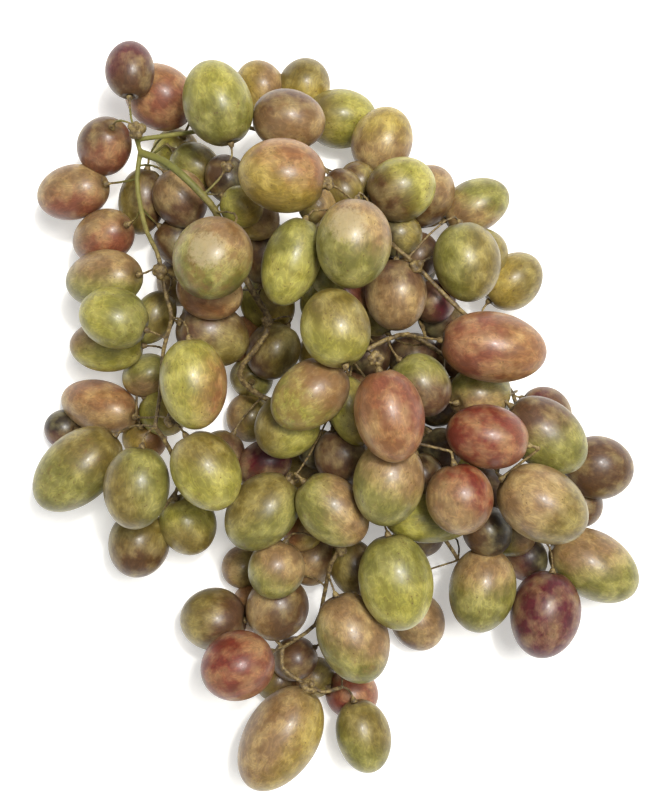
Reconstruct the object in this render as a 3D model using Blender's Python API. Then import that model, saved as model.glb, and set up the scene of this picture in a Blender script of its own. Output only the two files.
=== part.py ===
"""A bunch of large oval table grapes lying on its side, stalk and all.

The berries are laid out by hand, side shoot by side shoot, and then settled: touching berries
are pushed apart, the lowest ones press on the surface below, and the stalk finds its way
between them. Lengths in the tables are millimetres, +Z up, and the surface is z = 0.
"""

import bmesh
import bpy
import numpy as np
from mathutils import Matrix, Vector

MM = 0.001

# The layout is drawn as it is seen from EYE_HEIGHT above EYE: x and y of a row are where its
# line of sight meets PLAN_HEIGHT, and sizes are as they look there.
EYE = np.array((-1.4, 3.0))
EYE_HEIGHT = 440.0
PLAN_HEIGHT = 40.0

GAP = 0.45  # clear space between neighbouring pieces
BITE = 1.6  # how far the berries of one piece press into each other
PRESS = 0.8  # how far the lowest berries flatten on the surface
RESTING_BELOW = 16.0  # a berry drawn lower than this rests on the surface

STEPS = 420  # settling steps, the last third without any pull back to the drawing
SPHERES = np.linspace(-1.0, 1.0, 7)  # the spheres that stand for one berry, along its axis

RACHIS_RADIUS = 1.3
TIP_RADIUS = 0.7  # what the rachis and the arms taper to
ARM_RADIUS = 0.85
TWIG_RADIUS = 0.5
ROUTE_SPACING = 4.0
TWIG_POINTS = 4

# Skin colours: sRGB red, green, blue.
TONES = {
    "lime": (0.60, 0.64, 0.28),
    "green": (0.56, 0.58, 0.30),
    "gold": (0.64, 0.55, 0.32),
    "tan": (0.60, 0.48, 0.33),
    "rose": (0.62, 0.38, 0.28),
    "mauve": (0.47, 0.34, 0.26),
    "wine": (0.40, 0.15, 0.17),
}
STALK_COLOUR = (0.50, 0.46, 0.26)

# One entry per solid: the berries of an entry grow against each other as one piece.
# x, y, z, heading of the stalk end, its rise, length, width, tone
BERRIES = {
    "neck_berries": (
        (-62, 103, 32, -90, 10, 17.5, 14.5, "mauve"),
        (-53, 95, 18, -30, 0, 22, 19, "rose"),
    ),
    "shoulder_berries": (
        (-69.5, 80.5, 30, 50, 55, 20, 16, "mauve"),
        (-79.5, 65, 21, 10, 20, 23, 16, "tan"),
    ),
    "crown_berry_left": ((-35.5, 93, 42, -72, 0, 26, 20.5, "green"),),
    "crown_berries_back": (
        (-23.5, 98, 15, -60, 0, 16, 15, "tan"),
        (-9.5, 100, 15, -110, 0, 16, 15.5, "gold"),
        (3, 87, 24, 180, 0, 22, 18, "lime"),
    ),
    "crown_berry_tan": ((-14, 88, 37, 170, 0, 22, 18, "tan"),),
    "crown_berry_top": ((-16, 71, 60, -10, 0, 26.5, 22, "gold"),),
    "crown_berry_blush": ((14, 81, 22, -110, 0, 21, 18, "tan"),),
    "crown_berries_small": (
        (-6, 62, 42, -60, 0, 12, 11.5, "lime"),
        (3, 67, 32, -60, 0, 13, 11, "tan"),
        (7, 69, 26, -60, 0, 12, 11, "green"),
    ),
    "under_shoulder_berries": (
        (-50, 80, 15, -60, 0, 14, 14, "green"),
        (-40.5, 73, 26, -40, 0, 17, 15, "green"),
        (-32, 70, 26, -60, 0, 15, 13, "tan"),
        (-47.5, 61, 26, 120, 0, 18, 16, "tan"),
        (-59, 63, 21, 80, 10, 20, 14, "green"),
        (-47, 51, 22, 140, 10, 15, 14, "mauve"),
    ),
    "under_crown_berries": (
        (-31, 60, 36, 150, 0, 13, 12, "lime"),
        (-24, 58, 28, 150, 0, 14, 13, "green"),
        (-21, 48, 24, -100, 0, 20, 14, "wine"),
    ),
    "right_shoulder_berries": (
        (43, 61.5, 20, 205, 0, 21, 15.5, "tan"),
        (27, 65, 25, 230, 10, 20, 17, "tan"),
        (20, 67, 40, 200, 0, 21, 19, "green"),
        (19.5, 53, 27, -60, 0, 14, 13.5, "green"),
        (25, 47, 26, -100, 0, 14, 13, "rose"),
    ),
    "right_shoulder_berry_green": ((39.5, 44.5, 44, 100, 0, 24, 20, "green"),),
    "right_shoulder_berries_edge": (
        (54, 39, 16, 220, 0, 19, 16, "green"),
        (44, 48, 24, 180, 0, 16, 15, "green"),
    ),
    "right_shoulder_berries_tan": (
        (20, 38, 42, 90, 0, 21.5, 18.5, "tan"),
        (31, 33, 28, 130, 0, 13, 12.5, "wine"),
        (32, 27.5, 18, 130, 0, 14, 13, "green"),
    ),
    "left_berries_high": (
        (-70, 52.5, 22, 20, 35, 21, 15.5, "mauve"),
        (-70, 40, 28, 5, 25, 25, 17, "green"),
    ),
    "left_berry_top": ((-67, 28, 43, -20, 0, 21, 18, "lime"),),
    "left_berries_low": (
        (-69, 19.5, 22, 0, 0, 22, 15.5, "green"),
        (-55, 28, 22, 60, 0, 17, 12, "green"),
    ),
    "left_berries_small": (
        (-58, 12, 17, 20, 10, 15, 13, "green"),
        (-51, -2, 20, 140, 10, 15, 14, "green"),
        (-58, -9, 15, 60, 20, 14, 13.5, "mauve"),
    ),
    "left_berries_edge": (
        (-70, 2.5, 22, -15, 25, 27, 16, "tan"),
        (-83, -7, 9, 0, 0, 12, 12, "wine"),
    ),
    "scarred_berry": ((-37, 46, 60, 60, -20, 25.5, 23.5, "green"),),
    "scarred_berry_neighbours": (
        (-38, 36, 36, 160, 0, 20, 17, "tan"),
        (-37, 23, 34, 160, 25, 23, 19, "tan"),
    ),
    "wing_berry_top": ((-43, 8, 54, 95, 0, 27.5, 20, "lime"),),
    "wing_berry_long": ((-78, -18, 24, 42, 0, 31, 20.5, "green"),),
    "wing_berry_middle": ((-60, -23.5, 42, 83, 0, 25, 19.5, "green"),),
    "wing_berries_low": (
        (-61, -41, 16, 80, 0, 20, 18, "tan"),
        (-43.5, -34, 24, 110, 20, 19, 17, "green"),
    ),
    "wing_berry_right": ((-39, -18.5, 48, 120, 0, 25, 20, "lime"),),
    "heart_berries_long": ((-13, 45, 54, 72, 0, 27, 17, "green"), (-1, 47, 50, 80, 0, 24, 17, "green")),
    "deep_berries": (
        (-22, 30, 12, -60, 0, 18, 16, "tan"),
        (-27, 20, 10, -60, 0, 14, 14, "tan"),
        (-18, 17, 21, 60, 0, 18, 16, "green"),
        (-26, 10, 12, 60, 0, 13, 13, "green"),
        (-25, 2, 13, -60, 0, 15, 14, "green"),
        (-39, 29, 8, 40, 0, 15.5, 14.5, "green"),
        (-46, 40, 8, 60, 0, 15.5, 14.5, "tan"),
        (-14, -4, 8, 60, 0, 15.5, 14.5, "mauve"),
        (-8, -17, 8, 20, 0, 15.5, 14.5, "green"),
        (-18, -28, 8, 60, 0, 16, 14.5, "tan"),
        (-4, -31, 8, 90, 0, 15.5, 14.5, "green"),
    ),
    "under_heart_berries": (
        (10, 17, 8, 60, 0, 15.5, 14.5, "green"),
        (-3, 17, 8, 0, 0, 15.5, 14.5, "tan"),
        (10, 31, 8, 90, 0, 15.5, 14.5, "green"),
        (-3, 32, 8, 120, 0, 15.5, 14.5, "mauve"),
        (24, 16, 8, 30, 0, 15.5, 14.5, "green"),
        (37, 17, 8, 0, 0, 15.5, 14.5, "green"),
        (10, 45, 8, 60, 0, 15.5, 14.5, "tan"),
        (-4, 46, 8, 150, 0, 15.5, 14.5, "green"),
        (24, 43, 8, 60, 0, 15.5, 14.5, "green"),
        (3, 58, 8, 90, 0, 15.5, 14.5, "mauve"),
        (4, 4, 8, 60, 0, 15.5, 14.5, "green"),
        (18, 3, 8, 120, 0, 15.5, 14.5, "mauve"),
        (32, 3, 8, 60, 0, 15.5, 14.5, "green"),
        (46, 0, 8, 30, 0, 15.5, 14.5, "tan"),
        (11, -10, 8, 60, 0, 15.5, 14.5, "green"),
        (25, -11, 8, 0, 0, 15.5, 14.5, "wine"),
        (39, -12, 8, 90, 0, 15.5, 14.5, "green"),
        (18, -24, 8, 60, 0, 15.5, 14.5, "tan"),
        (32, -25, 8, 120, 0, 15.5, 14.5, "green"),
        (46, -25, 8, 60, 0, 15.5, 14.5, "mauve"),
        (25, -38, 8, 0, 0, 15.5, 14.5, "green"),
    ),
    "heart_berry_top": ((5.5, 50.5, 67, 85, 0, 27, 22.5, "rose"),),
    "heart_berry_lime": ((0, 24.5, 61, -75, 10, 24, 20.5, "lime"),),
    "heart_berries_under": (
        (1, 36, 42, -60, 0, 18, 14, "rose"),
        (15, 30, 30, -60, 0, 14, 13.5, "green"),
    ),
    "heart_berries_russet": (
        (-7.5, 5, 59, 38, 0, 26, 19.5, "gold"),
        (-14.5, -4.5, 46, 50, 0, 21, 19, "green"),
    ),
    "heart_berries_low": (
        (5, 0, 46, 110, 0, 22, 14, "lime"),
        (2.5, -14.5, 35, 110, 10, 18, 17, "mauve"),
        (-5, -12, 24, 110, 0, 12, 12, "wine"),
    ),
    "waist_berries_dark": (
        (-21, -16.5, 25, 30, 10, 18, 14, "wine"),
        (-35, -13, 20, 60, 0, 14, 13.5, "green"),
    ),
    "waist_berry_left": ((-21.5, -31, 40, 48, 0, 26, 20, "green"),),
    "waist_berry_middle": ((-0.5, -30, 48, 135, 0, 25, 19, "gold"),),
    "waist_berries_low": (
        (-9.5, -36, 26, 60, 0, 14, 12, "rose"),
        (-7, -46, 17, 60, 0, 16, 14, "tan"),
        (6, -48, 21, 110, 0, 18, 14, "green"),
    ),
    "rosy_berry": ((16.5, -2, 65, 103, 0, 28, 20.5, "rose"),),
    "two_tone_berry": ((26, 7.5, 52, 130, 0, 20, 17.5, "mauve"),),
    "orange_berry": ((48, 19, 54, 172, 0, 32, 21, "rose"),),
    "stub_berry": ((44, 5, 36, 200, 35, 20, 17, "green"),),
    "red_berry": ((46, -8.5, 56, 168, 0, 25, 19, "rose"),),
    "right_berries_upper": (
        (64, -8, 44, 140, 0, 28, 20, "green"),
        (60, -1, 28, 150, 0, 16, 14, "mauve"),
    ),
    "right_berry_middle": ((63, -28.5, 50, 148, 0, 29, 22, "tan"),),
    "right_berries_edge": (
        (80, -17, 19, 170, 0, 21, 19, "mauve"),
        (74, -29, 13, 150, 0, 14, 14, "mauve"),
    ),
    "right_berry_low": ((78, -47.5, 18, 150, 0, 29, 20, "green"),),
    "wine_berry": ((62.5, -61, 20, 80, 0, 26, 20.5, "wine"),),
    "waist_berry_right": ((15.5, -22, 53, 80, 0, 26, 21, "gold"),),
    "mauve_berry": ((38, -26.5, 56, 100, 0, 21.5, 20, "mauve"),),
    "under_right_berries": (
        (32, -12, 28, 120, 0, 13, 13, "mauve"),
        (26, -20, 36, 100, 0, 14, 13.5, "tan"),
        (29, -33, 35, 0, 0, 27, 15, "lime"),
    ),
    "tail_berries_right": (
        (46, -37, 30, 120, 0, 15, 14.5, "green"),
        (53.5, -37, 24, 140, 0, 15, 14, "green"),
        (58, -45, 17, 120, 0, 14, 13, "wine"),
        (44, -53, 30, 80, 0, 26, 20, "green"),
    ),
    "tail_berry_lime": ((18.5, -52, 43, 100, 0, 29, 22, "lime"),),
    "tail_berry_low": ((25, -64, 12, 120, 0, 18, 16, "rose"),),
    "tail_berries_left": (
        (-37, -63.5, 16, 0, 10, 20, 18.5, "green"),
        (-25, -57, 12, 60, 0, 15, 15, "tan"),
        (-27, -50, 9, 60, 0, 13, 13, "tan"),
        (-16, -61, 24, 60, 0, 20, 18.5, "tan"),
        (-18, -48, 37, 70, 0, 18, 17, "gold"),
    ),
    "tail_berry_rose": ((-29.5, -77.5, 34, 20, -20, 22.5, 20.5, "rose"),),
    "tail_berry_middle": ((5.5, -69, 37, 112, 0, 28, 21, "tan"),),
    "tip_berries": (
        (-11, -75, 18, 30, 0, 14, 13, "tan"),
        (-16, -83, 9, 30, 0, 13, 12, "green"),
        (-8, -81, 10, 30, 0, 13, 12, "green"),
        (4, -85.5, 9, 160, 20, 16, 15, "wine"),
        (8.5, -98.5, 17, 105, 0, 22, 16, "green"),
    ),
    "tip_berry_long": ((-15.5, -97, 24, 58, 0, 34, 22, "tan"),),
}

# The stalk's branches: radius, then points x, y, z. The first is the cut end.
ARMS = {
    "peduncle": (RACHIS_RADIUS, ((-60.5, 86, 44), (-60, 82, 38), (-59, 78, 37))),
    "rachis": (
        RACHIS_RADIUS,
        ((-59, 78, 37), (-52, 75.5, 41), (-46, 71, 44), (-40, 65, 43), (-36, 60, 40), (-31, 48, 34),
         (-25, 36, 31), (-20, 27, 31), (-23, 20, 30), (-29, 11, 27), (-22, 4, 22), (-10, 0, 24), (2, -3, 26),
         (11, -10, 25), (10, -24, 28), (4, -38, 34), (-1, -46, 34), (-3.5, -57, 26), (-6, -65, 22),
         (-16, -72, 22)),
    ),
    "crown_arm": (
        ARM_RADIUS,
        ((-60, 82, 38), (-52, 83, 34), (-45, 84, 30), (-38, 85, 26), (-28, 86, 22), (-16, 82, 20),
         (-6, 76, 22), (8, 60, 26)),
    ),
    "left_arm": (
        ARM_RADIUS,
        ((-59, 78, 37), (-60, 70, 36), (-59, 62, 37), (-57, 54, 39), (-54, 48, 41), (-52.5, 42, 42),
         (-51, 34, 42), (-49.5, 28, 43), (-52, 18, 40), (-53, 5, 38), (-54.5, -5, 38)),
    ),
    "wing_arm": (
        ARM_RADIUS,
        ((-54.5, -5, 38), (-50, -12, 34), (-47, -22, 30), (-52, -30, 26)),
    ),
    "right_arm": (
        ARM_RADIUS,
        ((-10, 0, 24), (-5, 7, 34), (0, 12, 44), (5, 15.5, 48), (9, 18, 48), (16, 21.5, 47), (22, 23, 44),
         (28, 20, 36), (36, 15, 30), (46, 13, 28), (54, 5, 29), (57, -8, 28), (61, -22, 28), (64, -40, 26)),
    ),
    "right_shoulder_arm": (
        ARM_RADIUS,
        ((46, 13, 28), (48, 20, 34), (44, 25, 41), (37, 31, 45), (30, 38, 45), (22, 46, 45), (16, 51, 43),
         (11, 56, 36)),
    ),
    "waist_arm": (
        ARM_RADIUS,
        ((11, -10, 25), (24, -28, 24), (34, -40, 24), (38, -46, 22)),
    ),
    "tip_arm": (
        ARM_RADIUS,
        ((-16, -72, 22), (-16, -78, 24), (-12.5, -81, 24), (-8, -83.5, 24), (-4, -85.5, 24), (2, -84, 22)),
    ),
}


def clear_scene():
    for item in list(bpy.data.objects):
        bpy.data.objects.remove(item, do_unlink=True)


def collection_named(name, hidden=False):
    made = bpy.data.collections.new(name)
    bpy.context.scene.collection.children.link(made)
    made.hide_render = hidden
    return made


def principled(name, colour, roughness):
    material = bpy.data.materials.new(name)
    material.use_nodes = True
    shader = material.node_tree.nodes["Principled BSDF"]
    shader.inputs["Base Color"].default_value = (*(c**2.2 for c in colour), 1.0)
    shader.inputs["Roughness"].default_value = roughness
    shader.inputs["Metallic"].default_value = 0.0
    return material


def on_sight_line(plan, z):
    """Where the lines of sight through these plan points are at height z."""
    share = (EYE_HEIGHT - z) / (EYE_HEIGHT - PLAN_HEIGHT)
    return EYE + (plan - EYE) * share[:, None]


def arm_points(points):
    """A smooth curve through an arm's points, about ROUTE_SPACING apart, still as drawn."""
    points = np.array(points, float)
    before = np.vstack((2 * points[0] - points[1], points[:-1]))
    after = np.vstack((points[1:], 2 * points[-1] - points[-2]))
    slopes = (after - before) / 2
    found = []
    for i in range(len(points) - 1):
        count = max(1, round(np.linalg.norm(points[i + 1] - points[i]) / ROUTE_SPACING))
        for t in np.arange(count)[:, None] / count:
            found.append(
                (2 * t**3 - 3 * t**2 + 1) * points[i]
                + (t**3 - 2 * t**2 + t) * slopes[i]
                + (3 * t**2 - 2 * t**3) * points[i + 1]
                + (t**3 - t**2) * slopes[i + 1]
            )
    return np.vstack((*found, points[-1]))


class Berries:
    """Every berry's axis, size and place, and the spheres inside it that stand for its surface."""

    def __init__(self):
        rows = [(node, *row) for node, members in BERRIES.items() for row in members]
        self.node = [row[0] for row in rows]
        self.tone = [row[8] for row in rows]
        x, y, z, heading, rise, length, width = np.array([row[1:8] for row in rows], float).T
        scale = (EYE_HEIGHT - z) / (EYE_HEIGHT - PLAN_HEIGHT)
        self.plan = np.stack((x, y), axis=1)
        self.drawn_z = z
        self.long = length * scale / 2
        self.short = width * scale / 2
        heading, rise = np.radians(heading), np.radians(rise)
        flat = np.cos(rise)
        self.axis = np.stack((flat * np.cos(heading), flat * np.sin(heading), np.sin(rise)), axis=1)
        self.place = np.column_stack((on_sight_line(self.plan, z), z))
        self.rests = z < RESTING_BELOW
        focus = np.maximum(self.long**2 - self.short**2, 1e-6)
        self.reach = (focus / self.long)[:, None] * SPHERES
        self.radii = self.short[:, None] * np.sqrt(1 - self.reach**2 / focus[:, None])

    def spheres(self):
        return self.place[:, None] + self.reach[:, :, None] * self.axis[:, None]

    def half_height(self):
        rise = self.axis[:, 2]
        return np.sqrt((self.long * rise) ** 2 + self.short**2 * (1 - rise**2))

    def stalk_ends(self, out=0.0):
        return self.place + (self.long + out)[:, None] * self.axis


def partners(berries):
    """Each berry of a piece with the nearest one before it in the same piece."""
    found = []
    for i, node in enumerate(berries.node):
        earlier = [j for j in range(i) if berries.node[j] == node]
        if earlier:
            away = [np.linalg.norm(berries.place[i] - berries.place[j]) for j in earlier]
            found.append((i, earlier[int(np.argmin(away))]))
    return found


def closest(berries, i, j):
    """For index arrays i and j: the space between the two berries and its direction from j to i."""
    spheres = berries.spheres()
    apart = spheres[i][:, :, None] - spheres[j][:, None]
    distance = np.linalg.norm(apart, axis=3)
    space = distance - berries.radii[i][:, :, None] - berries.radii[j][:, None]
    flat = space.reshape(len(i), -1).argmin(axis=1)
    row = np.arange(len(i))
    direction = apart.reshape(len(i), -1, 3)[row, flat] / distance.reshape(len(i), -1)[row, flat][:, None]
    return space.reshape(len(i), -1)[row, flat], direction


def push_apart(berries, mobility):
    """Berries that are too close move away from each other, and those of one piece meet."""
    joined = partners(berries)
    i, j = np.triu_indices(len(berries.node), 1)
    apart = np.linalg.norm(berries.place[i] - berries.place[j], axis=1)
    near = apart < berries.long[i] + berries.long[j] + GAP
    i, j = i[near], j[near]
    space, direction = closest(berries, i, j)
    same = np.array([berries.node[a] == berries.node[b] for a, b in zip(i, j)])
    wanted = np.where(same, -BITE, GAP)
    push = np.maximum(wanted - space, 0)
    move_along(berries.place, i, j, push, direction, mobility)
    i, j = np.array(joined).T
    space, direction = closest(berries, i, j)
    move_along(berries.place, i, j, np.minimum(-BITE - space, 0), direction, mobility)


def move_along(place, i, j, push, direction, mobility):
    """Moves i and j apart by push in all, mostly in the directions that mobility favours."""
    favoured = direction * mobility
    step = favoured * (push / (2 * (favoured * direction).sum(axis=1)))[:, None]
    np.add.at(place, i, 0.6 * step)
    np.add.at(place, j, -0.6 * step)


def settle_on_surface(berries):
    lowest = berries.place[:, 2] - berries.half_height()
    wanted = np.where(berries.rests, -PRESS, np.maximum(lowest, GAP))
    berries.place[:, 2] += 0.5 * (wanted - lowest)


class Threads:
    """The stalk's branches and twigs as chains of points, which slip past the berries."""

    def __init__(self, berries):
        self.points = []
        self.radius = []
        self.chains = []
        self.arms = {}
        for name, (radius, drawn) in ARMS.items():
            points = arm_points(drawn)
            points[:, :2] = on_sight_line(points[:, :2], points[:, 2])
            self.arms[name] = self.add_chain(points, radius)
        self.add_twigs(berries)
        self.points = np.array(self.points)
        self.at_rest = self.points.copy()
        self.radius = np.array(self.radius)
        self.tie_ends()

    def add_chain(self, points, radius):
        first = len(self.points)
        self.points.extend(points)
        self.radius.extend([radius] * len(points))
        chain = list(range(first, first + len(points)))
        self.chains.append(chain)
        return chain

    def add_twigs(self, berries):
        """One twig from each berry's stalk end to the branch point that is easiest to reach."""
        arms = np.array(self.points)
        self.twigs = []
        for tip, axis in zip(berries.stalk_ends(GAP), berries.axis):
            away = arms - (tip + 5 * axis)
            root = int(np.argmin(np.linalg.norm(away, axis=1)))
            bend = tip + min(6.0, np.linalg.norm(arms[root] - tip) / 2) * axis
            t = np.linspace(0, 1, TWIG_POINTS + 1)[:, None]
            path = (1 - t) ** 2 * tip + 2 * t * (1 - t) * bend + t**2 * arms[root]
            chain = self.add_chain(path[:-1], TWIG_RADIUS)
            self.twigs.append((chain[0], root))
            chain.append(root)

    def tie_ends(self):
        """Arms that start where another runs share its point."""
        self.ties = []
        for chain in self.arms.values():
            start = self.points[chain[0]]
            for other in self.arms.values():
                if other is chain:
                    continue
                away = np.linalg.norm(self.points[other] - start, axis=1)
                if away.min() < 0.1:
                    self.ties.append((chain[0], other[int(away.argmin())]))

    def relax(self, berries):
        for first, second in self.ties:
            middle = (self.points[first] + self.points[second]) / 2
            self.points[first] = self.points[second] = middle
        for chain in self.chains:
            bend = self.points[chain] - self.at_rest[chain]
            bend[1:-1] = 0.7 * bend[1:-1] + 0.15 * (bend[:-2] + bend[2:])
            self.points[chain] = self.at_rest[chain] + 0.98 * bend
        spheres = berries.spheres().reshape(-1, 3)
        radii = berries.radii.reshape(-1)
        apart = self.points[:, None] - spheres
        distance = np.linalg.norm(apart, axis=2)
        space = distance - radii - self.radius[:, None]
        nearest = space.argmin(axis=1)
        row = np.arange(len(self.points))
        push = np.maximum(GAP - space[row, nearest], 0)
        step = apart[row, nearest] / distance[row, nearest][:, None] * push[:, None]
        self.points += 0.7 * step
        owner = nearest // len(SPHERES)
        heavy = self.radius > TWIG_RADIUS
        np.add.at(berries.place, owner[heavy], -0.15 * step[heavy])
        self.points[:, 2] = np.maximum(self.points[:, 2], self.radius + GAP)
        tips = berries.stalk_ends(GAP)
        for tip, (first, _) in zip(tips, self.twigs):
            self.points[first] = tip


def settle():
    """The berries and the stalk's points in their final places, in millimetres."""
    berries = Berries()
    threads = Threads(berries)
    for step in range(STEPS):
        free = step > STEPS * 2 // 3
        drawn = on_sight_line(berries.plan, berries.place[:, 2])
        if not free:
            berries.place[:, :2] += 0.2 * (drawn - berries.place[:, :2])
            berries.place[:, 2] += 0.02 * (berries.drawn_z - berries.place[:, 2])
        push_apart(berries, np.array((0.35, 0.35, 1.0)) if not free else np.array((0.7, 0.7, 1.0)))
        settle_on_surface(berries)
        threads.relax(berries)
    return berries, threads


def turned(axis):
    """The rotation that takes +X to the axis."""
    return Vector((1, 0, 0)).rotation_difference(Vector(axis)).to_matrix().to_4x4()


def add_berry(parts, name, berries, i):
    """One oval berry, flattened where it presses on the surface."""
    shape = bmesh.new()
    bmesh.ops.create_icosphere(shape, subdivisions=2, radius=1.0)
    size = Matrix.Diagonal((berries.long[i], berries.short[i], berries.short[i], 1.0))
    place = Matrix.Translation(Vector(berries.place[i]))
    in_metres = Matrix.Scale(MM, 4) @ place @ turned(berries.axis[i]) @ size
    bmesh.ops.transform(shape, matrix=in_metres, verts=shape.verts)
    cut = bmesh.ops.bisect_plane(
        shape,
        geom=[*shape.verts, *shape.edges, *shape.faces],
        plane_co=(0, 0, 0),
        plane_no=(0, 0, 1),
        clear_inner=True,
    )
    rim = [item for item in cut["geom_cut"] if isinstance(item, bmesh.types.BMEdge)]
    if rim:
        bmesh.ops.contextual_create(shape, geom=rim)
    bmesh.ops.recalc_face_normals(shape, faces=shape.faces)
    mesh = bpy.data.meshes.new(name)
    shape.to_mesh(mesh)
    shape.free()
    mesh.shade_smooth()
    berry = bpy.data.objects.new(name, mesh)
    parts.objects.link(berry)
    return berry


def join(body, others):
    """A Boolean union of the body with each of the others, which become helpers."""
    for other in others:
        modifier = body.modifiers.new(f"join {other.name}", "BOOLEAN")
        modifier.operation = "UNION"
        modifier.object = other
        other.hide_render = True
        other.display_type = "WIRE"


def add_berries(parts, cutters, berries):
    materials = {tone: principled(f"skin_{tone}", colour, 0.35) for tone, colour in TONES.items()}
    for node in BERRIES:
        members = [i for i, name in enumerate(berries.node) if name == node]
        body = add_berry(parts, node, berries, members[0])
        body.data.materials.append(materials[berries.tone[members[0]]])
        others = [add_berry(cutters, f"{node}_join_{i}", berries, i) for i in members[1:]]
        join(body, others)


def clear_of_berries(berries, owner, path, radius):
    """Whether a tube along the path keeps off every berry, but for its end on its own berry."""
    t = np.linspace(0, 1, 6)[:, None]
    points = np.vstack([a + (b - a) * t for a, b in zip(path[:-1], path[1:])])
    away = np.linalg.norm(points[:, None, None] - berries.spheres(), axis=3)
    space = (away - berries.radii).min(axis=2)
    space[:3, owner] = np.inf
    return space.min() > radius + 0.1


def tube_curve(name, resolution):
    curve = bpy.data.curves.new(name, "CURVE")
    curve.dimensions = "3D"
    curve.bevel_depth = 1.0 * MM
    curve.bevel_resolution = resolution
    curve.use_fill_caps = True
    return curve


def add_spline(curve, path, first_radius, last_radius):
    """A round tube along the path, from one radius to the other."""
    spline = curve.splines.new("POLY")
    spline.points.add(len(path) - 1)
    radii = np.linspace(first_radius, last_radius, len(path))
    for point, place, radius in zip(spline.points, path, radii):
        point.co = (*(place * MM), 1.0)
        point.radius = radius


def as_mesh(curve, name):
    """The curve's tubes as one welded mesh object."""
    guide = bpy.data.objects.new(name, curve)
    bpy.context.scene.collection.objects.link(guide)
    graph = bpy.context.evaluated_depsgraph_get()
    mesh = bpy.data.meshes.new_from_object(guide.evaluated_get(graph))
    bpy.data.objects.remove(guide, do_unlink=True)
    shape = bmesh.new()
    shape.from_mesh(mesh)
    bmesh.ops.remove_doubles(shape, verts=shape.verts, dist=0.00001)
    bmesh.ops.recalc_face_normals(shape, faces=shape.faces)
    shape.to_mesh(mesh)
    shape.free()
    mesh.name = name
    return bpy.data.objects.new(name, mesh)


def add_stalk(parts, cutters, berries, threads):
    """The rachis, its side arms and the berry stalks, grown as one piece."""
    trunk = tube_curve("stalk", 1)
    arms = tube_curve("stalk_branches", 1)
    for name, chain in threads.arms.items():
        path = threads.points[chain]
        if name == "rachis":
            add_spline(trunk, path, RACHIS_RADIUS, TIP_RADIUS)
        else:
            add_spline(arms, path, threads.radius[chain[0]], TIP_RADIUS)
    twigs = tube_curve("stalk_twigs", 0)
    for owner, (first, root) in enumerate(threads.twigs):
        path = threads.points[[*range(first, first + TWIG_POINTS), root]]
        if clear_of_berries(berries, owner, path, TWIG_RADIUS):
            add_spline(twigs, path, TWIG_RADIUS, TWIG_RADIUS)
    stalk = as_mesh(trunk, "stalk")
    parts.objects.link(stalk)
    stalk.data.materials.append(principled("stalk_green", STALK_COLOUR, 0.6))
    others = [as_mesh(arms, "stalk_branches"), as_mesh(twigs, "stalk_twigs")]
    for other in others:
        cutters.objects.link(other)
    join(stalk, others)
    for modifier in stalk.modifiers:
        modifier.use_self = True


def centre_origin(solids):
    """Moves every solid so that the origin is under the middle of the bunch."""
    points = np.array([vertex.co for solid in solids for vertex in solid.data.vertices])
    middle = (points.min(axis=0) + points.max(axis=0)) / 2
    for solid in solids:
        solid.data.transform(Matrix.Translation((-middle[0], -middle[1], 0)))


def main():
    clear_scene()
    parts = collection_named("grape_bunch")
    cutters = collection_named("helpers", hidden=True)
    berries, threads = settle()
    add_berries(parts, cutters, berries)
    add_stalk(parts, cutters, berries, threads)
    centre_origin([*parts.objects, *cutters.objects])


main()
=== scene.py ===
import math

import bmesh
import bpy
import numpy as np
from mathutils import Matrix, Vector


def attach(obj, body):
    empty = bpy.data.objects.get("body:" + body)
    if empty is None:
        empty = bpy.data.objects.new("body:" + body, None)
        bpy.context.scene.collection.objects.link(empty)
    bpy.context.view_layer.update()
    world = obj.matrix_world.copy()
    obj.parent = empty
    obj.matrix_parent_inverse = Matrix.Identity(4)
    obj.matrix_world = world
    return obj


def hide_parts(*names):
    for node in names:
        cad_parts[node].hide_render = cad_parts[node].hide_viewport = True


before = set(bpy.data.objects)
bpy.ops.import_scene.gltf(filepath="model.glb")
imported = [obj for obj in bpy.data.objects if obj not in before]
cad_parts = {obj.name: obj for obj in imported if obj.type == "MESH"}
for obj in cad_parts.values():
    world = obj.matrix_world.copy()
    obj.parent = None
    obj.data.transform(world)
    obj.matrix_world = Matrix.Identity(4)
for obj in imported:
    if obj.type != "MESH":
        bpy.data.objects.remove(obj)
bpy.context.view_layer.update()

MM = 0.001
WELD = 0.002 * MM

# A real crease between two berries folds inwards far more than the facets of one berry do.
CREASE = math.radians(-12)
FEWEST_FACES = 8
ROUND = 1.04  # a berry no longer than this many times its width has no long axis to measure
RESTING = 0.02 * MM  # corners lower than this lie on the flat a berry rests on

# Grape skin with the flesh seen through it, as sRGB hex.
SKINS = {
    "lime": "#807A32",
    "green": "#6A662C",
    "olive": "#655624",
    "gold": "#84702F",
    "tan": "#7A5F3E",
    "orange": "#7A5230",
    "rose": "#73422E",
    "red": "#66281A",
    "mauve": "#533824",
    "brown": "#4C3218",
    "dark": "#2A2012",
    "purple": "#562A2C",
    "wine": "#4A0C18",
}

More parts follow.
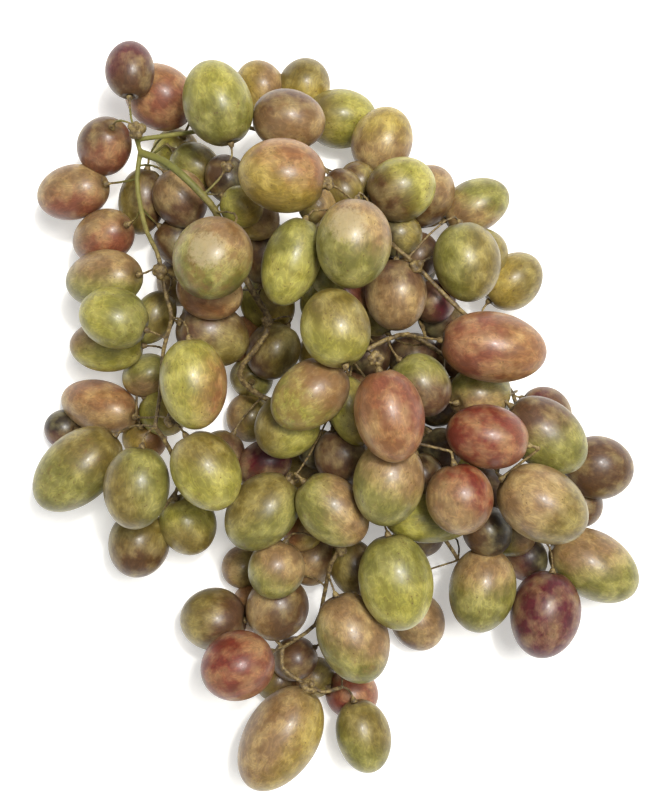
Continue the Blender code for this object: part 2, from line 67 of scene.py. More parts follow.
# Each node's berries from left to right: ground colour, blush colour, the way the blush side
# faces (degrees from +X, seen from above), how much of the berry it takes, and russet.
# A row that is shorter than its node's berries starts again.
LOOKS = {
    "neck_berries": (("purple", "mauve", -60, 0.4, 0.1), ("orange", "rose", -60, 0.4, 0.2)),
    "shoulder_berries": (("tan", "rose", -90, 0.3, 0.2), ("rose", "mauve", 120, 0.4, 0.3)),
    "crown_berry_left": (("lime", "green", -90, 0.4, 0.5),),
    "crown_berries_back": (
        ("gold", "tan", 0, 0.4, 0.2),
        ("gold", "olive", 90, 0.5, 0.3),
        ("lime", "olive", 180, 0.3, 0.1),
    ),
    "crown_berry_tan": (("tan", "mauve", 100, 0.35, 0.7),),
    "crown_berry_top": (("gold", "orange", 60, 0.4, 0.5),),
    "crown_berry_blush": (("tan", "gold", 90, 0.4, 0.2),),
    "crown_berries_small": (
        ("olive", "tan", 0, 0.3, 0.4),
        ("olive", "brown", 90, 0.3, 0.2),
        ("brown", "olive", 0, 0.3, 0.1),
    ),
    "under_shoulder_berries": (
        ("olive", "brown", 0, 0.4, 0.5),
        ("lime", "gold", 0, 0.3, 0.1),
        ("brown", "dark", 0, 0.4, 0.3),
        ("mauve", "tan", 90, 0.4, 0.2),
        ("olive", "green", 180, 0.4, 0.2),
        ("brown", "dark", 0, 0.3, 0.2),
    ),
    "under_crown_berries": (
        ("lime", "gold", 0, 0.4, 0.1),
        ("gold", "tan", 0, 0.4, 0.3),
        ("brown", "dark", 0, 0.4, 0.2),
    ),
    "right_shoulder_berries": (
        ("dark", "olive", 0, 0.4, 0.1),
        ("lime", "brown", -140, 0.35, 0.3),
        ("tan", "mauve", 0, 0.4, 0.1),
        ("tan", "brown", 240, 0.4, 0.3),
        ("tan", "green", 60, 0.45, 0.2),
    ),
    "right_shoulder_berry_green": (("green", "olive", 0, 0.4, 0.3),),
    "right_shoulder_berries_edge": (("green", "olive", 0, 0.3, 0.1), ("gold", "olive", 0, 0.4, 0.2)),
    "right_shoulder_berries_tan": (
        ("mauve", "tan", -90, 0.5, 0.5),
        ("mauve", "wine", 0, 0.4, 0.1),
        ("dark", "brown", 0, 0.4, 0.1),
    ),
    "left_berries_high": (("tan", "rose", -60, 0.4, 0.3), ("green", "tan", 90, 0.4, 0.3)),
    "left_berry_top": (("lime", "green", 0, 0.4, 0.2),),
    "left_berries_low": (("lime", "tan", 120, 0.25, 0.2), ("green", "olive", 0, 0.5, 0.1)),
    "left_berries_small": (
        ("gold", "orange", 0, 0.3, 0.1),
        ("green", "tan", -90, 0.3, 0.1),
        ("lime", "gold", 0, 0.4, 0.1),
    ),
    "left_berries_edge": (("wine", "dark", 90, 0.5, 0.1), ("tan", "orange", 80, 0.4, 0.3)),
    "scarred_berry": (("green", "tan", 60, 0.3, 0.8),),
    "scarred_berry_neighbours": (("mauve", "olive", -60, 0.3, 0.3), ("tan", "orange", -120, 0.4, 0.3)),
    "wing_berry_top": (("lime", "orange", -10, 0.2, 0.5),),
    "wing_berry_long": (("green", "olive", 60, 0.3, 0.6),),
    "wing_berry_middle": (("green", "olive", 200, 0.4, 0.4),),
    "wing_berries_low": (("olive", "brown", -90, 0.4, 0.3), ("lime", "olive", -90, 0.4, 0.3)),
    "wing_berry_right": (("lime", "olive", 90, 0.3, 0.5),),
    "heart_berries_long": (("green", "lime", -90, 0.4, 0.3), ("olive", "green", -90, 0.5, 0.2)),
    "deep_berries": (
        ("brown", "olive", 0, 0.5, 0.2),
        ("olive", "brown", 0, 0.5, 0.2),
        ("tan", "orange", 0, 0.5, 0.2),
        ("tan", "olive", 0, 0.5, 0.1),
        ("olive", "green", 0, 0.4, 0.1),
        ("lime", "gold", 0, 0.5, 0.2),
        ("brown", "olive", 0, 0.5, 0.1),
        ("brown", "tan", 0, 0.4, 0.2),
    ),
    "under_heart_berries": (
        ("gold", "olive", 0, 0.4, 0.2),
        ("brown", "mauve", 60, 0.5, 0.2),
        ("lime", "olive", 0, 0.4, 0.2),
        ("brown", "dark", 0, 0.4, 0.2),
        ("dark", "mauve", 60, 0.5, 0.2),
        ("olive", "brown", 0, 0.4, 0.2),
        ("dark", "brown", 0, 0.4, 0.2),
        ("dark", "mauve", 0, 0.4, 0.2),
    ),
    "heart_berry_top": (("green", "tan", 60, 0.35, 0.35),),
    "heart_berry_lime": (("lime", "olive", 70, 0.45, 0.3),),
    "heart_berries_under": (("dark", "rose", 0, 0.4, 0.1), ("olive", "green", 0, 0.4, 0.1)),
    "heart_berries_russet": (("lime", "olive", 180, 0.3, 0.3), ("lime", "tan", 40, 0.4, 0.9)),
    "heart_berries_low": (
        ("dark", "brown", 0, 0.4, 0.1),
        ("mauve", "brown", 0, 0.4, 0.2),
        ("lime", "gold", 0, 0.4, 0.1),
    ),
    "waist_berries_dark": (("olive", "mauve", 0, 0.4, 0.1), ("brown", "wine", 90, 0.5, 0.2)),
    "waist_berry_left": (("green", "olive", 120, 0.4, 0.4),),
    "waist_berry_middle": (("green", "tan", 20, 0.4, 0.6),),
    "waist_berries_low": (
        ("orange", "gold", 0, 0.4, 0.2),
        ("tan", "brown", 0, 0.3, 0.1),
        ("olive", "brown", 0, 0.4, 0.1),
    ),
    "rosy_berry": (("orange", "rose", 40, 0.4, 0.6),),
    "two_tone_berry": (("green", "mauve", -80, 0.5, 0.3),),
    "orange_berry": (("orange", "rose", 180, 0.45, 0.4),),
    "stub_berry": (("green", "tan", -90, 0.4, 0.3),),
    "red_berry": (("rose", "red", 150, 0.6, 0.4),),
    "right_berries_upper": (("green", "mauve", 110, 0.35, 0.4), ("purple", "mauve", 0, 0.4, 0.1)),
    "right_berry_middle": (("olive", "tan", 150, 0.5, 0.4),),
    "right_berries_edge": (("mauve", "brown", 0, 0.4, 0.1), ("mauve", "brown", -60, 0.5, 0.3)),
    "right_berry_low": (("green", "tan", 100, 0.35, 0.4),),
    "wine_berry": (("wine", "purple", -60, 0.2, 0.1),),
    "waist_berry_right": (("green", "tan", 60, 0.45, 0.4),),
    "mauve_berry": (("tan", "red", 50, 0.35, 0.3),),
    "under_right_berries": (
        ("dark", "brown", 0, 0.4, 0.2),
        ("lime", "green", 0, 0.4, 0.3),
        ("dark", "mauve", 0, 0.4, 0.2),
    ),
    "tail_berries_right": (
        ("green", "tan", 90, 0.3, 0.4),
        ("brown", "dark", 0, 0.4, 0.2),
        ("green", "tan", 0, 0.4, 0.2),
        ("wine", "dark", 0, 0.4, 0.1),
    ),
    "tail_berry_lime": (("lime", "green", 90, 0.3, 0.2),),
    "tail_berry_low": (("mauve", "tan", 0, 0.4, 0.2),),
    "tail_berries_left": (
        ("olive", "mauve", -10, 0.4, 0.5),
        ("tan", "olive", 0, 0.4, 0.1),
        ("orange", "brown", 0, 0.4, 0.2),
        ("tan", "brown", 0, 0.5, 0.2),
        ("green", "tan", 60, 0.45, 0.5),
    ),
    "tail_berry_rose": (("rose", "red", 160, 0.5, 0.3),),
    "tail_berry_middle": (("green", "tan", 60, 0.5, 0.6),),
    "tip_berries": (
        ("olive", "brown", 0, 0.4, 0.2),
        ("brown", "mauve", 0, 0.4, 0.3),
        ("tan", "olive", 0, 0.4, 0.1),
        ("red", "rose", 0, 0.4, 0.1),
        ("green", "olive", 60, 0.4, 0.3),
    ),
    "tip_berry_long": (("gold", "tan", 150, 0.5, 0.6),),
}

# The way the rough, pale healed patch of a rubbed berry faces.
SCARS = {
    "scarred_berry": (-0.1, 0.15, 0.98),
    "heart_berry_top": (-0.15, 0.4, 0.9),
}

# Swollen, corky joints of the stalk: their places as seen from above and their size, in millimetres.
# The last three are guesses.
KNUCKLES = (
    (-55.1, 46.5, 3.0),
    (-55.6, -2.5, 3.0),
    (25.9, 46.5, 2.7),
    (10.9, 21.5, 3.0),
    (-32.1, 81.5, 2.4),
    (-2.1, 68.5, 2.7),
    (-12.1, -16.5, 2.7),
    (-6.1, -83.5, 3.2),
    (-61.1, 84.5, 3.5),
    (-20.0, 30.0, 2.4),
    (3.0, -45.0, 2.4),
    (56.0, -5.0, 2.7),
)

# The bunch is seen from straight above. EYE is over the middle of the view.
EYE = Vector((-2.5, 5.5, 440.0)) * MM
MID_HEIGHT = 40.0 * MM
VIEW_HEIGHT = 242.4 * MM  # what the view takes in from top to bottom, at MID_HEIGHT
SENSOR = 36.0  # height of the camera's sensor, in millimetres

# Berries, in millimetres or as a share of their half width or half length.
SKIN_SWELL = 0.2  # how far a real berry stands proud of its faceted oval
EGG = 0.035  # how much wider the stalk end is than the middle
UNEVEN = 0.02  # height of the three shallow bulges round a berry
DIMPLE = 0.9  # depth of the hollow at the stalk end
DIMPLE_EDGE = 0.93  # where along the half length it starts
BERRY_DETAIL = 5
GRAIN_STEP = 37.0  # how far apart two berries are in the patterns of their skins

# Blush, russet and scars, from 0 to 1.
BLUSH_LIFT = 0.35  # how far the blush side leans up to the light
BLUSH_FADE = (0.45, 0.65)  # how softly it starts and ends
BLUSH_MOST = 0.65
RUSSET_MOST = 0.5
SCAR_MOST = 0.6
SCAR_EDGE = 0.7

# Noise scales of the skin's patterns. The grain is in millimetres, so 0.2 has features about 5 mm across.
CLOUD = 0.16
PATCH = 0.36
FINE = 1.1
STREAK = 0.42
FLECK = 0.62
RUB = 0.3
BLOOM = 0.14

# The stalk, in millimetres.
NECK = (-61.0, 85.0, 38.0)  # where the first arms leave the stalk, which stays green there
CAP_RADIUS = 1.3
CAP_END_RADIUS = 0.75
CAP_HEIGHT = 1.3
CAP_SINK = 0.3  # how far a cap is sunk into its berry
TWIG_RADIUS = 0.5
TWIG_BEND = 4.0  # a new berry stalk runs straight out of its berry for at most this
TWIG_LOOK = 0.8  # how far out from the foot of its cap a berry's stalk is looked for
TWIG_GAP = 1.6  # a berry with no stalk this near gets a new one
TWIG_AIM = 5.0  # how far out from there the point nearest its root is
KNUCKLE_REACH = 6.0  # how far from its place a knuckle may find its arm
KNUCKLE_LUMPS = 5
LUMP_TURN = 2.4  # radians from one lump to the next
VOXEL = 0.32
SOFTENING = 0.6
KEPT_FACES = 0.54
CORK_FADE = (2.0, 7.0)  # cork thins out over these distances from a cap or knuckle
GREEN_FADE = (18.0, 45.0)  # and the green of the neck over these distances from it

# The stage, in metres.
FLOOR_SIZE = 1.5
WORLD_LIGHT = 0.42
LAMP_COLOUR = (1.0, 0.99, 0.96)
LAMP_AIM = Vector((0, 0, 0.03))  # inside the bunch, under its middle

# Kinds of nodes, and the inputs of a colour mix: how much of the second colour covers the first.
ATTRIBUTE = "ShaderNodeAttribute"
MATH = "ShaderNodeMath"
MIX = "ShaderNodeMix"
NOISE = "ShaderNodeTexNoise"
RAMP = "ShaderNodeValToRGB"
COVER, FIRST, SECOND = 0, 6, 7


class Oval:
    """A berry as the CAD gives it: middle, half length, half width, and which way its stalk end is."""

    def __init__(self, middle, half_long, half_short, axis):
        self.middle = middle
        self.half_long = half_long
        self.half_short = half_short
        self.axis = axis

    def face_stalk(self, stalk):
        """Turns the axis to the end that is nearer the stalk. A round berry's points straight at it."""
        ends = [self.middle + sign * self.half_long * self.axis for sign in (1, -1)]
        away = [np.linalg.norm(stalk - end, axis=1).min() for end in ends]
        if away[1] < away[0]:
            self.axis = -self.axis
        if self.half_long < ROUND * self.half_short:
            reach = stalk[np.linalg.norm(stalk - self.middle, axis=1).argmin()] - self.middle
            self.axis = reach / np.linalg.norm(reach)


def merged_copy(node):
    shape = bmesh.new()
    shape.from_mesh(node.data)
    bmesh.ops.remove_doubles(shape, verts=shape.verts, dist=WELD)
    return shape


def lobes(shape):
    """The faces of each berry of a joined piece: creases part them."""
    parted = []
    waiting = set(shape.faces)
    while waiting:
        found = []
        edge_of_search = [waiting.pop()]
        while edge_of_search:
            face = edge_of_search.pop()
            found.append(face)
            for edge in face.edges:
                if edge.calc_face_angle_signed(0.0) < CREASE:
                    continue
                for other in edge.link_faces:
                    if other in waiting:
                        waiting.remove(other)
                        edge_of_search.append(other)
        if len(found) >= FEWEST_FACES:
            parted.append(found)
    return parted


def skin_points(faces):
    """The corners on a berry's own skin, not on a crease or on the surface below, in millimetres."""
    inside = set(faces)
    corners = {v for face in faces for v in face.verts if all(f in inside for f in v.link_faces)}
    return np.array([v.co / MM for v in corners if v.co.z > RESTING])


def fitted_oval(points):
    """The ellipsoid through the points, from the nine terms of its equation."""
    origin = points.mean(axis=0)
    x, y, z = (points - origin).T
    terms = np.stack((x * x, y * y, z * z, 2 * x * y, 2 * x * z, 2 * y * z, 2 * x, 2 * y, 2 * z), axis=1)
    a, b, c, d, e, f, g, h, i = np.linalg.lstsq(terms, np.ones(len(points)), rcond=None)[0]
    form = np.array(((a, d, e), (d, b, f), (e, f, c)))
    shift = -np.linalg.solve(form, (g, h, i))
    scale = 1 + shift @ form @ shift
    values, vectors = np.linalg.eigh(form / scale)
    reach = 1 / np.sqrt(values)
    return Oval(origin + shift, reach[0], math.sqrt(reach[1] * reach[2]), vectors[:, 0])


def read_berries():
    """Each berry of the CAD with its node's name, the berries of one node from left to right."""
    stalk = np.array([v.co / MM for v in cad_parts["stalk"].data.vertices])
    found = []
    for name, node in sorted(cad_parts.items()):
        if name == "stalk":
            continue
        shape = merged_copy(node)
        ovals = [fitted_oval(skin_points(faces)) for faces in lobes(shape)]
        shape.free()
        for oval in ovals:
            oval.face_stalk(stalk)
        ovals.sort(key=lambda oval: oval.middle[0])
        found.extend((name, oval) for oval in ovals)
    return found


def linear(hex_colour):
    """An sRGB hex colour as linear red, green and blue, with an alpha of 1."""
    parts = [int(hex_colour[i : i + 2], 16) / 255 for i in (1, 3, 5)]
    return (*(c / 12.92 if c <= 0.04045 else ((c + 0.055) / 1.055) ** 2.4 for c in parts), 1.0)


def grey(value):
    """A linear grey with an alpha of 1."""
    return (value, value, value, 1.0)


def smooth_step(low, high, value):
    t = np.clip((value - low) / (high - low), 0, 1)
    return t * t * (3 - 2 * t)


def add_node(tree, kind, inputs=None, stops=(), **settings):
    """A node with its settings and, on a ramp, its stops of (place, colour).

    An input is set to a value, or linked to an output or to the first output that a node has in use.
    """
    node = tree.nodes.new(kind)
    for name, value in settings.items():
        setattr(node, name, value)
    for name, value in (inputs or {}).items():
        if isinstance(value, bpy.types.Node):
            value = next(output for output in value.outputs if output.enabled)
        if isinstance(value, bpy.types.NodeSocket):
            tree.links.new(value, node.inputs[name])
        else:
            node.inputs[name].default_value = value
    if stops:
        elements = node.color_ramp.elements
        while len(elements) < len(stops):
            elements.new(0.5)
        for element, (place, colour) in zip(elements, stops):
            element.position = place
            element.color = colour
    return node


def new_material(name):
    material = bpy.data.materials.new(name)
    material.use_nodes = True
    tree = material.node_tree
    tree.nodes.clear()
    return material, tree


def fleshy_colour(tree, grain, patch, fine):
    """Ground and blush colours over cloudy flesh, with milky and darker patches and paler veins."""
    ground = add_node(tree, ATTRIBUTE, attribute_name="ground").outputs["Color"]
    blush = add_node(tree, ATTRIBUTE, attribute_name="blush").outputs["Color"]
    share = add_node(tree, ATTRIBUTE, attribute_name="share").outputs["Fac"]
    cloud = add_node(tree, NOISE, {"Vector": grain, "Scale": CLOUD, "Detail": 3.0, "Roughness": 0.55})
    stretched = add_node(tree, "ShaderNodeMapping", {"Vector": grain, "Scale": (0.45, 1.0, 1.0)})
    streak = add_node(
        tree,
        NOISE,
        {"Vector": stretched, "Scale": STREAK, "Detail": 3.0, "Roughness": 0.6, "Distortion": 0.8},
    )

    spread = add_node(tree, MATH, {0: patch, 1: 0.6, 2: share}, operation="MULTIPLY_ADD")
    cover = add_node(tree, RAMP, {"Fac": spread}, ((0.3, grey(0.0)), (0.9, grey(1.0))))
    blushed = add_node(tree, MIX, {COVER: cover, FIRST: ground, SECOND: blush}, data_type="RGBA")
    cover = add_node(tree, RAMP, {"Fac": cloud}, ((0.4, grey(0.0)), (0.62, grey(0.4))))
    light = {COVER: cover, FIRST: blushed, SECOND: grey(1.0)}
    lit = add_node(tree, MIX, light, data_type="RGBA", blend_type="OVERLAY")
    cover = add_node(tree, RAMP, {"Fac": cloud}, ((0.44, grey(0.0)), (0.66, grey(0.22))))
    milky = add_node(tree, MIX, {COVER: cover, FIRST: lit, SECOND: linear("#C2BA80")}, data_type="RGBA")

    blotch = add_node(tree, RAMP, {"Fac": patch}, ((0.34, (0.55, 0.45, 0.32, 1.0)), (0.56, grey(1.0))))
    shade = {COVER: 0.42, FIRST: milky, SECOND: blotch}
    blotched = add_node(tree, MIX, shade, data_type="RGBA", blend_type="MULTIPLY")
    freckle = add_node(tree, RAMP, {"Fac": fine}, ((0.34, grey(0.6)), (0.5, grey(1.0))))
    shade = {COVER: 0.35, FIRST: blotched, SECOND: freckle}
    freckled = add_node(tree, MIX, shade, data_type="RGBA", blend_type="MULTIPLY")
    veins = add_node(tree, RAMP, {"Fac": streak}, ((0.44, grey(0.0)), (0.5, grey(0.35)), (0.56, grey(0.0))))
    light = {COVER: veins, FIRST: freckled, SECOND: (1.0, 1.0, 0.9, 1.0)}
    return add_node(tree, MIX, light, data_type="RGBA", blend_type="OVERLAY")


def marked_colour(tree, flesh, grain, patch, fine, rub_noise):
    """The skin's marks over its flesh: flecks, russet rubs, a healed scar, brown ends and bloom."""
    russet = add_node(tree, ATTRIBUTE, attribute_name="russet").outputs["Fac"]
    pole = add_node(tree, ATTRIBUTE, attribute_name="pole").outputs["Fac"]
    scar = add_node(tree, ATTRIBUTE, attribute_name="scar").outputs["Fac"]

    specks = add_node(tree, "ShaderNodeTexVoronoi", {"Vector": grain, "Scale": FLECK, "Randomness": 1.0})
    fleck = add_node(tree, RAMP, {"Fac": specks}, ((0.1, grey(0.8)), (0.2, grey(0.0))))
    chosen = add_node(tree, RAMP, {"Fac": patch}, ((0.44, grey(1.0)), (0.54, grey(0.0))))
    both = {COVER: 1.0, FIRST: fleck, SECOND: chosen}
    cover = add_node(tree, MIX, both, data_type="RGBA", blend_type="MULTIPLY")
    flecked = add_node(tree, MIX, {COVER: cover, FIRST: flesh, SECOND: linear("#5E4426")}, data_type="RGBA")
    rub = add_node(tree, MATH, {0: rub_noise, 1: russet}, operation="ADD")
    cover = add_node(tree, RAMP, {"Fac": rub}, ((0.86, grey(0.0)), (1.0, grey(0.55))))
    rubbed = add_node(tree, MIX, {COVER: cover, FIRST: flecked, SECOND: linear("#77522E")}, data_type="RGBA")
    torn = add_node(tree, MATH, {0: fine, 1: 0.9, 2: scar}, operation="MULTIPLY_ADD")
    cover = add_node(tree, RAMP, {"Fac": torn}, ((0.76, grey(0.0)), (1.0, grey(0.7))))
    healed = add_node(tree, MIX, {COVER: cover, FIRST: rubbed, SECOND: linear("#A39470")}, data_type="RGBA")

    # the blossom end, at 0, keeps a small brown scar, and the skin round the stalk, at 1, browns
    browning = ((0.0, 0.9), (0.006, 0.5), (0.02, 0.0), (0.9, 0.0), (1.0, 0.55))
    ends = add_node(tree, RAMP, {"Fac": pole}, [(place, grey(value)) for place, value in browning])
    browned = add_node(tree, MIX, {COVER: ends, FIRST: healed, SECOND: linear("#4F3A20")}, data_type="RGBA")
    dust = add_node(tree, NOISE, {"Vector": grain, "Scale": BLOOM, "Detail": 3.0, "Roughness": 0.5})
    cover = add_node(tree, RAMP, {"Fac": dust}, ((0.35, grey(0.0)), (0.75, grey(0.025))))
    return add_node(tree, MIX, {COVER: cover, FIRST: browned, SECOND: linear("#CFC8BC")}, data_type="RGBA")


def grape_skin():
    """Ripe grape skin: a thin waxy film over wet, light-scattering flesh.

    The eye gets a soft sheen, cloudy flesh with milky and darker patches, blush that spreads
    in uneven patches, faint paler veins, russet specks and rubs, and a little dusty bloom.
    """
    material, tree = new_material("ripe_grape_skin")
    grain = add_node(tree, ATTRIBUTE, attribute_name="grain").outputs["Vector"]
    patch = add_node(tree, NOISE, {"Vector": grain, "Scale": PATCH, "Detail": 3.0, "Roughness": 0.58})
    fine = add_node(tree, NOISE, {"Vector": grain, "Scale": FINE, "Detail": 5.0, "Roughness": 0.72})
    rub_noise = add_node(tree, NOISE, {"Vector": grain, "Scale": RUB, "Detail": 7.0, "Roughness": 0.72})
    flesh = fleshy_colour(tree, grain, patch, fine)
    colour = marked_colour(tree, flesh, grain, patch, fine, rub_noise)
    rough = add_node(tree, RAMP, {"Fac": fine}, ((0.3, grey(0.34)), (0.75, grey(0.5))))
    relief = add_node(tree, "ShaderNodeBump", {"Height": rub_noise, "Strength": 0.3, "Distance": 0.0003})
    shader = add_node(
        tree,
        "ShaderNodeBsdfPrincipled",
        {
            "Base Color": colour,
            "Roughness": rough,
            "Normal": relief,
            "IOR": 1.42,
            "Subsurface Weight": 0.35,
            "Subsurface Radius": (1.0, 0.75, 0.3),
            "Subsurface Scale": 0.0025,
            "Coat Weight": 0.12,
            "Coat Roughness": 0.16,
        },
    )
    add_node(tree, "ShaderNodeOutputMaterial", {"Surface": shader})
    return material


def grape_stalk():
    """A living grape stalk, smooth and green near the neck, tan and corky where it branches."""
    material, tree = new_material("green_and_corky_grape_stalk")
    place = add_node(tree, "ShaderNodeTexCoord").outputs["Object"]
    cork = add_node(tree, ATTRIBUTE, attribute_name="cork").outputs["Fac"]
    # place is in metres, so these have features about 17 mm and 1.4 mm across
    broad = add_node(tree, NOISE, {"Vector": place, "Scale": 60.0, "Detail": 3.0, "Roughness": 0.6})
    fine = add_node(tree, NOISE, {"Vector": place, "Scale": 700.0, "Detail": 5.0, "Roughness": 0.7})
    greens = ((0.35, linear("#66662A")), (0.6, linear("#7C7636")))
    green = add_node(tree, RAMP, {"Fac": broad}, greens)
    barks = ((0.34, linear("#3A2D1A")), (0.5, linear("#6A5632")), (0.66, linear("#93804E")))
    bark = add_node(tree, RAMP, {"Fac": fine}, barks)
    skin = add_node(tree, MIX, {COVER: cork, FIRST: green, SECOND: bark}, data_type="RGBA")
    grime = add_node(tree, RAMP, {"Fac": fine}, ((0.3, grey(0.6)), (0.6, grey(1.0))))
    shade = {COVER: 0.6, FIRST: skin, SECOND: grime}
    dark = add_node(tree, MIX, shade, data_type="RGBA", blend_type="MULTIPLY")
    relief = add_node(tree, "ShaderNodeBump", {"Height": fine, "Strength": 0.5, "Distance": 0.0003})
    shader = add_node(
        tree,
        "ShaderNodeBsdfPrincipled",
        {
            "Base Color": dark,
            "Roughness": 0.62,
            "Normal": relief,
            "Subsurface Weight": 0.08,
            "Subsurface Radius": (1.0, 0.8, 0.3),
            "Subsurface Scale": 0.001,
        },
    )
    add_node(tree, "ShaderNodeOutputMaterial", {"Surface": shader})
    return material


def paper_white():
    """Matt white paper on a lit table, so that the shadows on it stay faint."""
    material, tree = new_material("matt_white_paper")
    place = add_node(tree, "ShaderNodeTexCoord").outputs["Object"]
    fibre = add_node(tree, NOISE, {"Vector": place, "Scale": 900.0, "Detail": 3.0})
    whites = ((0.3, linear("#F3F2EF")), (0.7, linear("#FAF9F7")))
    colour = add_node(tree, RAMP, {"Fac": fibre}, whites)
    shader = add_node(
        tree,
        "ShaderNodeBsdfPrincipled",
        {
            "Base Color": colour,
            "Roughness": 0.8,
            "Emission Color": grey(1.0),
            "Emission Strength": 0.3,
        },
    )
    add_node(tree, "ShaderNodeOutputMaterial", {"Surface": shader})
    return material


def store(mesh, name, kind, values):
    attribute = mesh.attributes.new(name, kind, "POINT")
    field = {"FLOAT": "value", "FLOAT_VECTOR": "vector", "FLOAT_COLOR": "color"}[kind]
    attribute.data.foreach_set(field, np.asarray(values, np.float32).ravel())


def link(name, data):
    """A new object at the origin that shows a mesh, a lamp or a camera."""
    made = bpy.data.objects.new(name, data)
    bpy.context.scene.collection.objects.link(made)
    return made


def egg(points, oval, number):
    """A round skin's points as a berry that lies along X, a little uneven, its dimpled stalk end at +X."""
    pole = points[:, 0]
    angle = np.arctan2(points[:, 1], points[:, 2])
    radial = 1 + EGG * pole + UNEVEN * np.sin(3 * angle + number) * (1 - pole**2)
    local = points * (np.array((oval.half_long, oval.half_short, oval.half_short)) + SKIN_SWELL)
    local[:, 1:] *= radial[:, None]
    local[:, 0] -= DIMPLE * smooth_step(DIMPLE_EDGE, 1.0, pole) ** 2
    return local


def store_blush(mesh, outward, look):
    """A berry's ground and blush colours, and how far the blush takes over at each point."""
    ground, blush, heading, share, _ = look
    turn = math.radians(heading)
    side = np.array((math.cos(turn), math.sin(turn), BLUSH_LIFT))
    facing = outward @ side / np.linalg.norm(side)
    edge = 1.0 - 2.0 * share
    amount = smooth_step(edge - BLUSH_FADE[0], edge + BLUSH_FADE[1], facing)
    store(mesh, "ground", "FLOAT_COLOR", np.tile(linear(SKINS[ground]), (len(outward), 1)))
    store(mesh, "blush", "FLOAT_COLOR", np.tile(linear(SKINS[blush]), (len(outward), 1)))
    store(mesh, "share", "FLOAT", BLUSH_MOST * amount)


def add_berry(name, oval, look, scar, number, material):
    """One berry, flattened where it rests on the surface, with its own colours and marks on its skin."""
    shape = bmesh.new()
    bmesh.ops.create_icosphere(shape, subdivisions=BERRY_DETAIL, radius=1.0)
    points = np.array([v.co for v in shape.verts])
    local = egg(points, oval, number)
    turn = np.array(Vector((1, 0, 0)).rotation_difference(Vector(oval.axis)).to_matrix())
    world = local @ turn.T + oval.middle
    world[:, 2] = np.maximum(world[:, 2], 0.0)
    for vertex, place in zip(shape.verts, world * MM):
        vertex.co = place
    mesh = bpy.data.meshes.new(name)
    shape.to_mesh(mesh)
    shape.free()
    mesh.shade_smooth()
    mesh.materials.append(material)

    outward = world - oval.middle
    store_blush(mesh, outward / oval.half_short, look)
    store(mesh, "grain", "FLOAT_VECTOR", local + GRAIN_STEP * np.array((number, number % 7, number % 5)))
    store(mesh, "russet", "FLOAT", np.full(len(points), RUSSET_MOST * look[-1]))
    store(mesh, "pole", "FLOAT", (points[:, 0] + 1) / 2)
    if scar:
        ways = outward / np.linalg.norm(outward, axis=1)[:, None]
        store(mesh, "scar", "FLOAT", SCAR_MOST * smooth_step(SCAR_EDGE, 1.0, ways @ np.array(scar)))
    return link(name, mesh)


def add_berries(berries):
    skin = grape_skin()
    counts = {}
    for number, (node, oval) in enumerate(berries):
        index = counts.get(node, 0)
        counts[node] = index + 1
        look = LOOKS[node][index % len(LOOKS[node])]
        berry = add_berry(f"{node}_{index + 1}_skin", oval, look, SCARS.get(node), number, skin)
        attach(berry, "root")
        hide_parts(node)


def add_stub(shape, start, end, radius, end_radius):
    """A round taper from start to end, in millimetres."""
    start, end = Vector(start), Vector(end)
    run = end - start
    turn = Vector((0, 0, 1)).rotation_difference(run).to_matrix().to_4x4()
    place = Matrix.Translation((start + end) / 2 * MM) @ turn
    bmesh.ops.create_cone(
        shape,
        cap_ends=True,
        segments=10,
        radius1=radius * MM,
        radius2=end_radius * MM,
        depth=run.length * MM,
        matrix=place,
    )


def add_caps(shape, arms, berries):
    """A corky cap on each berry, and a berry stalk where none reaches it. Gives the caps' places."""
    tips = []
    for _, oval in berries:
        axis = Vector(oval.axis)
        tip = Vector(oval.middle) + float(oval.half_long - CAP_SINK) * axis
        tips.append(tip)
        away = np.linalg.norm(arms - np.array(tip + TWIG_LOOK * axis), axis=1)
        add_stub(shape, tip - CAP_SINK * axis, tip + CAP_HEIGHT * axis, CAP_RADIUS, CAP_END_RADIUS)
        if away.min() > TWIG_GAP:
            root = Vector(arms[np.linalg.norm(arms - np.array(tip + TWIG_AIM * axis), axis=1).argmin()])
            bend = tip + min(TWIG_BEND, (root - tip).length / 2) * axis
            add_stub(shape, tip, bend, TWIG_RADIUS, TWIG_RADIUS)
            add_stub(shape, bend, root, TWIG_RADIUS, TWIG_RADIUS)
    return tips


def add_knuckle(shape, place, size, turn):
    """A cluster of small lumps round a point, in millimetres."""
    for i in range(KNUCKLE_LUMPS):
        angle = turn + LUMP_TURN * i
        away = Vector((math.cos(angle), math.sin(angle), 0.5 * math.sin(3 * angle))) * (0.45 * size)
        matrix = Matrix.Translation((Vector(place) + away) * MM)
        radius = (0.38 + 0.05 * (i % 3)) * size * MM
        bmesh.ops.create_icosphere(shape, subdivisions=2, radius=radius, matrix=matrix)


def seen_from_above(points):
    """Where the points are seen from above, brought to the height of the view's middle."""
    scale = (EYE.z - MID_HEIGHT) / (EYE.z - points[:, 2] * MM)
    eye = np.array(EYE[:2]) / MM
    return eye + (points[:, :2] - eye) * scale[:, None]


def add_knuckles(shape, arms):
    """A knuckle on the uppermost arm under each of its places. Gives the knuckles' own places."""
    seen = seen_from_above(arms)
    places = []
    for turn, (x, y, size) in enumerate(KNUCKLES):
        near = np.linalg.norm(seen - (x, y), axis=1) < KNUCKLE_REACH
        place = max(arms[near], key=lambda point: point[2], default=None)
        if place is not None:
            add_knuckle(shape, place, size, turn)
            places.append(Vector(place))
    return places


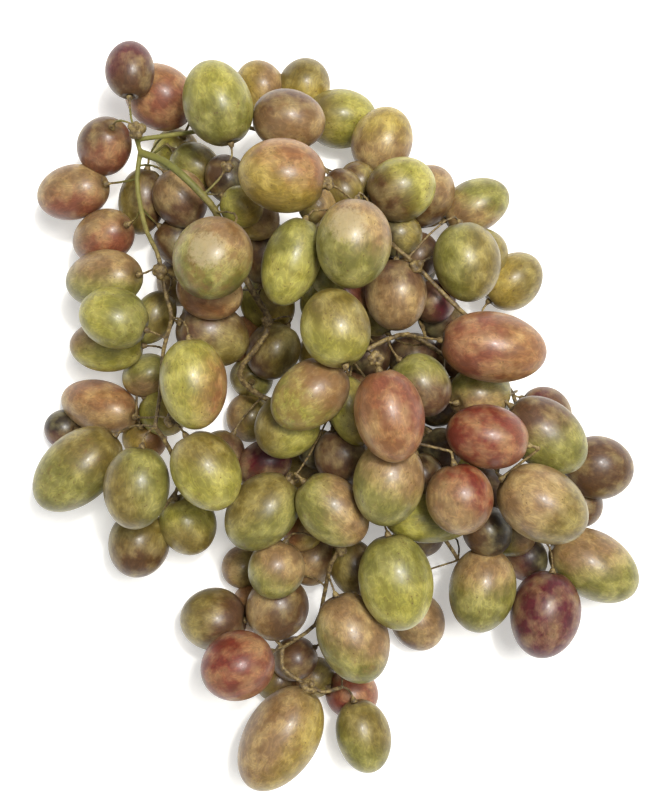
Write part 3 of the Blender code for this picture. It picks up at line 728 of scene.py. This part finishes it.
def grow_skin(stalk):
    """Grows the stalk's overlapping stubs and lumps into one soft skin."""
    remesh = stalk.modifiers.new("one skin", "REMESH")
    remesh.mode = "VOXEL"
    remesh.voxel_size = VOXEL * MM
    softened = stalk.modifiers.new("softened", "SMOOTH")
    softened.iterations = 3
    softened.factor = SOFTENING
    lighter = stalk.modifiers.new("lighter", "DECIMATE")
    lighter.ratio = KEPT_FACES
    graph = bpy.context.evaluated_depsgraph_get()
    grown = bpy.data.meshes.new_from_object(stalk.evaluated_get(graph))
    stalk.modifiers.clear()
    stalk.data = grown
    grown.shade_smooth()
    return grown


def store_cork(mesh, corky):
    """How corky the stalk is at each point: most at caps and knuckles, and all over far from the neck."""
    points = np.empty(len(mesh.vertices) * 3, np.float32)
    mesh.vertices.foreach_get("co", points)
    points = points.reshape(-1, 3) / MM
    near = np.full(len(points), np.inf)
    for place in corky:
        near = np.minimum(near, np.linalg.norm(points - np.array(place), axis=1))
    from_neck = np.linalg.norm(points - np.array(NECK), axis=1)
    cork = np.maximum(1 - smooth_step(*CORK_FADE, near), smooth_step(*GREEN_FADE, from_neck))
    store(mesh, "cork", "FLOAT", cork)


def add_stalk(berries):
    """The stalk, grown as one piece: arms, berry stalks and the corky cap that holds each berry."""
    shape = merged_copy(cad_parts["stalk"])
    arms = np.array([v.co / MM for v in shape.verts])
    corky = add_caps(shape, arms, berries) + add_knuckles(shape, arms)
    mesh = bpy.data.meshes.new("stalk_grown")
    shape.to_mesh(mesh)
    shape.free()
    stalk = link("stalk_grown", mesh)
    grown = grow_skin(stalk)
    grown.materials.clear()
    grown.materials.append(grape_stalk())
    store_cork(grown, corky)
    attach(stalk, "root")
    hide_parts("stalk")


def add_floor():
    shape = bmesh.new()
    bmesh.ops.create_grid(shape, x_segments=2, y_segments=2, size=FLOOR_SIZE)
    mesh = bpy.data.meshes.new("floor")
    shape.to_mesh(mesh)
    shape.free()
    mesh.materials.append(paper_white())
    floor = link("floor", mesh)


def add_light(name, place, size, power):
    """A square soft light that faces the middle of the bunch."""
    light = bpy.data.lights.new(name, "AREA")
    light.shape = "SQUARE"
    light.size = size
    light.energy = power
    light.color = LAMP_COLOUR
    lamp = link(name, light)
    lamp.location = place
    lamp.rotation_euler = (LAMP_AIM - Vector(place)).to_track_quat("-Z", "Y").to_euler()


def add_lights():
    world = bpy.data.worlds.new("studio")
    world.use_nodes = True
    background = world.node_tree.nodes["Background"]
    background.inputs["Color"].default_value = grey(1.0)
    background.inputs["Strength"].default_value = WORLD_LIGHT
    bpy.context.scene.world = world
    add_light("ceiling_panel", (0.35, 0.25, 1.3), 0.55, 19.0)
    add_light("small_lamp", (0.15, 0.22, 0.9), 0.06, 3.4)


def add_camera():
    camera = bpy.data.cameras.new("overhead_camera")
    camera.sensor_fit = "VERTICAL"
    camera.sensor_height = SENSOR
    camera.lens = SENSOR * (EYE.z - MID_HEIGHT) / VIEW_HEIGHT
    camera.clip_start = 0.01
    viewer = link("overhead_camera", camera)
    viewer.location = EYE
    bpy.context.scene.camera = viewer
    bpy.context.scene.view_settings.view_transform = "Standard"


def main():
    berries = read_berries()
    add_berries(berries)
    add_stalk(berries)
    add_floor()
    add_lights()
    add_camera()


main()
